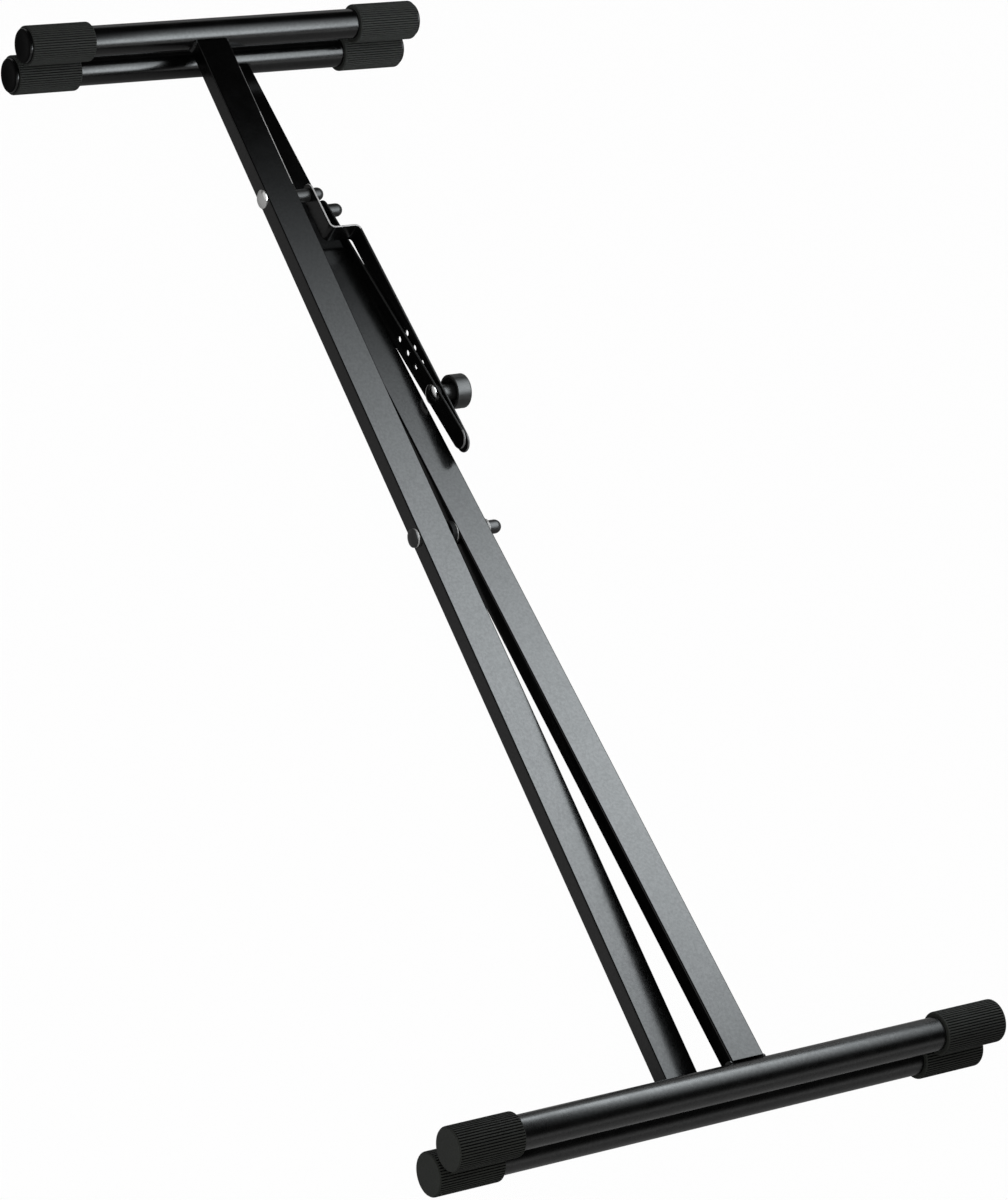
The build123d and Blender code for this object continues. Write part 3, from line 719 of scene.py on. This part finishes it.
# Knob on its stud
grip_start = hub_start + HUB_LENGTH
knob_end = grip_start + KNOB_LENGTH
stud_end = knob_end - KNOB_WALL
inner_r = KNOB_R - KNOB_WALL
knob_profile = [(stud_end, 0), (stud_end, ELBOW_R), (hub_start, ELBOW_R)]
knob_profile += rounded([
    (hub_start, ELBOW_R + 0.5, 0), (hub_start, HUB_R, 0.6), (grip_start + KNOB_RECESS, HUB_R, 0.8),
    (grip_start + KNOB_RECESS, inner_r, 0.8), (grip_start, inner_r, 0.5), (grip_start, KNOB_R, 0.8),
    (knob_end, KNOB_R, KNOB_EDGE), (knob_end, KNOB_R - KNOB_RIM, 0),
])
knob_profile += [(knob_end - KNOB_DISH, KNOB_R - KNOB_RIM - 0.6), (knob_end - KNOB_DISH, 0)]
turned("knob_grip", "knob", "knob_plastic", strap_frame_a, -strap_a_reach, knob_profile, ("knob",),
       around=120)
stud_start = washer_end + PLAY
stud_profile = [(stud_start, 0), (stud_start, ELBOW_R - BOLT_CHAMFER), (stud_start + BOLT_CHAMFER, ELBOW_R),
                (stud_end, ELBOW_R), (stud_end, 0)]
turned("knob_stud_turned", "knob", "zinc", strap_frame_a, -strap_a_reach, stud_profile, ("knob_stud",),
       around=64)

# The solid model's own nodes get their materials too
for name, obj in frame["nodes"].items():
    slot = next(s["material_slot"] for s in frame["record"]["subparts"] if s["node"] == name)
    obj.data.materials.clear()
    obj.data.materials.append(materials[slot])


# Floor, light and camera
def rays(tree, first, *others):
    """1 for rays of these kinds, 0 for others."""
    sight = node(tree, "ShaderNodeLightPath")
    total = sight.outputs[f"Is {first} Ray"]
    for kind in others:
        either = node(tree, "ShaderNodeMath", operation="MAXIMUM")
        tree.links.new(total, either.inputs[0])
        tree.links.new(sight.outputs[f"Is {kind} Ray"], either.inputs[1])
        total = either.outputs[0]
    return total


def mixed(tree, share, below, above):
    """Shader that shows above by this share and below by the rest."""
    both = node(tree, "ShaderNodeMixShader")
    tree.links.new(share, both.inputs["Fac"])
    tree.links.new(below, both.inputs[1])
    tree.links.new(above, both.inputs[2])
    return both.outputs[0]


def area_lamp(name, power, place):
    """Area lamp that the camera doesn't see."""
    lamp = bpy.data.lights.new(name, "AREA")
    lamp.energy = power
    holder = bpy.data.objects.new(name, lamp)
    holder.location = place
    holder.visible_camera = False
    bpy.context.collection.objects.link(holder)
    return holder


floor_mesh = bpy.data.meshes.new("floor")
floor_corners = [(x * FLOOR_HALF, y * FLOOR_HALF, 0) for x, y in ((-1, -1), (1, -1), (1, 1), (-1, 1))]
floor_mesh.from_pydata(floor_corners, [], [(0, 1, 2, 3)])
floor = bpy.data.objects.new("floor", floor_mesh)
bpy.context.collection.objects.link(floor)
paper = bpy.data.materials.new("floor_paper")
paper.use_nodes = True
tree = paper.node_tree
shader = tree.nodes["Principled BSDF"]
shader.inputs["Base Color"].default_value = (*grey(FLOOR_LEVEL), 1)
shader.inputs["Roughness"].default_value = 0.9
shader.inputs["Specular IOR Level"].default_value = 0.0
# Paler than its own colour in reflections; clear to the camera but for a trace of shadow, so that the
# white room shows behind it, and so does a leg that opens below it
surface = shader.outputs[0]
white = node(tree, "ShaderNodeEmission", Color=(1, 1, 1, 1), Strength=1.0)
clear = node(tree, "ShaderNodeBsdfTransparent")
for amount, other, *kinds in (
    (FLOOR_SHEEN, white, "Glossy"),
    (FLOOR_CLEAR, clear, "Camera", "Transmission"),
):
    share = node(tree, "ShaderNodeMath", operation="MULTIPLY")
    share.inputs[1].default_value = amount
    tree.links.new(rays(tree, *kinds), share.inputs[0])
    surface = mixed(tree, share.outputs[0], surface, other.outputs[0])
tree.links.new(surface, tree.nodes["Material Output"].inputs["Surface"])
floor_mesh.materials.append(paper)

# The room is white to the camera; to the object it is dim, with a dark ceiling and a pale horizon that
# reaches higher on the left and in front
world = bpy.data.worlds.new("studio")
bpy.context.scene.world = world
world.use_nodes = True
tree = world.node_tree
room = tree.nodes["Background"]
room.inputs["Color"].default_value = (1, 1, 1, 1)
room.inputs["Strength"].default_value = ROOM_LEVEL
sky = node(tree, "ShaderNodeSeparateXYZ")
tree.links.new(node(tree, "ShaderNodeTexCoord").outputs["Generated"], sky.inputs[0])
height = sky.outputs["Z"]
for axis, reach in HORIZON_REACH:
    near = node(tree, "ShaderNodeMath", operation="MINIMUM")
    near.inputs[1].default_value = 0.0
    tree.links.new(sky.outputs[axis], near.inputs[0])
    lower = node(tree, "ShaderNodeMath", operation="MULTIPLY_ADD")
    lower.inputs[1].default_value = reach
    tree.links.new(near.outputs[0], lower.inputs[0])
    tree.links.new(height, lower.inputs[2])
    height = lower.outputs[0]
ceiling = node(tree, "ShaderNodeMapRange", interpolation_type="SMOOTHSTEP", From_Min=HORIZON_END,
               From_Max=CEILING_START, To_Min=HORIZON_LEVEL, To_Max=CEILING_LEVEL)
tree.links.new(height, ceiling.inputs["Value"])
sheen = node(tree, "ShaderNodeBackground", Strength=1.0)
tree.links.new(ceiling.outputs["Result"], sheen.inputs["Color"])
white = node(tree, "ShaderNodeBackground", Color=(1, 1, 1, 1), Strength=1.0)
seen = mixed(tree, rays(tree, "Glossy"), room.outputs[0], sheen.outputs[0])
seen = mixed(tree, rays(tree, "Camera", "Transmission"), seen, white.outputs[0])
tree.links.new(seen, tree.nodes["World Output"].inputs["Surface"])

# One long softbox above the right side of the stand, brightest in the middle and fading to its ends,
# seen only in reflections
softbox = area_lamp("softbox", SOFTBOX_POWER, SOFTBOX_PLACE)
softbox.visible_diffuse = False
lamp = softbox.data
lamp.shape = "RECTANGLE"
lamp.size, lamp.size_y = SOFTBOX_SIZE
lamp.color = SOFTBOX_COLOUR
lamp.use_nodes = True
tree = lamp.node_tree
spread = node(tree, "ShaderNodeSeparateXYZ")
tree.links.new(node(tree, "ShaderNodeNewGeometry").outputs["Parametric"], spread.inputs[0])
fades = []
for axis, inner in SOFTBOX_FULL:
    off = node(tree, "ShaderNodeMath", operation="MULTIPLY_ADD")
    off.inputs[1].default_value, off.inputs[2].default_value = 2.0, -1.0
    tree.links.new(spread.outputs[axis], off.inputs[0])
    away = node(tree, "ShaderNodeMath", operation="ABSOLUTE")
    tree.links.new(off.outputs[0], away.inputs[0])
    fade = node(tree, "ShaderNodeMapRange", interpolation_type="SMOOTHSTEP", From_Min=inner, From_Max=1.0,
                To_Min=1.0, To_Max=0.0)
    tree.links.new(away.outputs[0], fade.inputs["Value"])
    fades.append(fade.outputs["Result"])
glow = node(tree, "ShaderNodeMath", operation="MULTIPLY")
tree.links.new(fades[0], glow.inputs[0])
tree.links.new(fades[1], glow.inputs[1])
tree.links.new(glow.outputs[0], tree.nodes["Emission"].inputs["Strength"])

# Soft light from the front for the colours and the shadow, left out of the reflections
front = area_lamp("front", FRONT_POWER, FRONT_PLACE)
front.visible_glossy = False
front.rotation_euler = Vector(FRONT_AIM).to_track_quat("-Z", "Y").to_euler()
front.data.shape = "SQUARE"
front.data.size = FRONT_SIZE

lens = bpy.data.cameras.new("camera")
lens.sensor_width, lens.lens = SENSOR, FOCAL
lens.shift_x, lens.shift_y = SHIFT
lens.clip_end = 100
camera = bpy.data.objects.new("camera", lens)
camera.location = CAMERA_PLACE
camera.rotation_euler = [radians(turn) for turn in CAMERA_TURN]
bpy.context.collection.objects.link(camera)
bpy.context.scene.camera = camera
bpy.context.scene.view_settings.view_transform = "Standard"
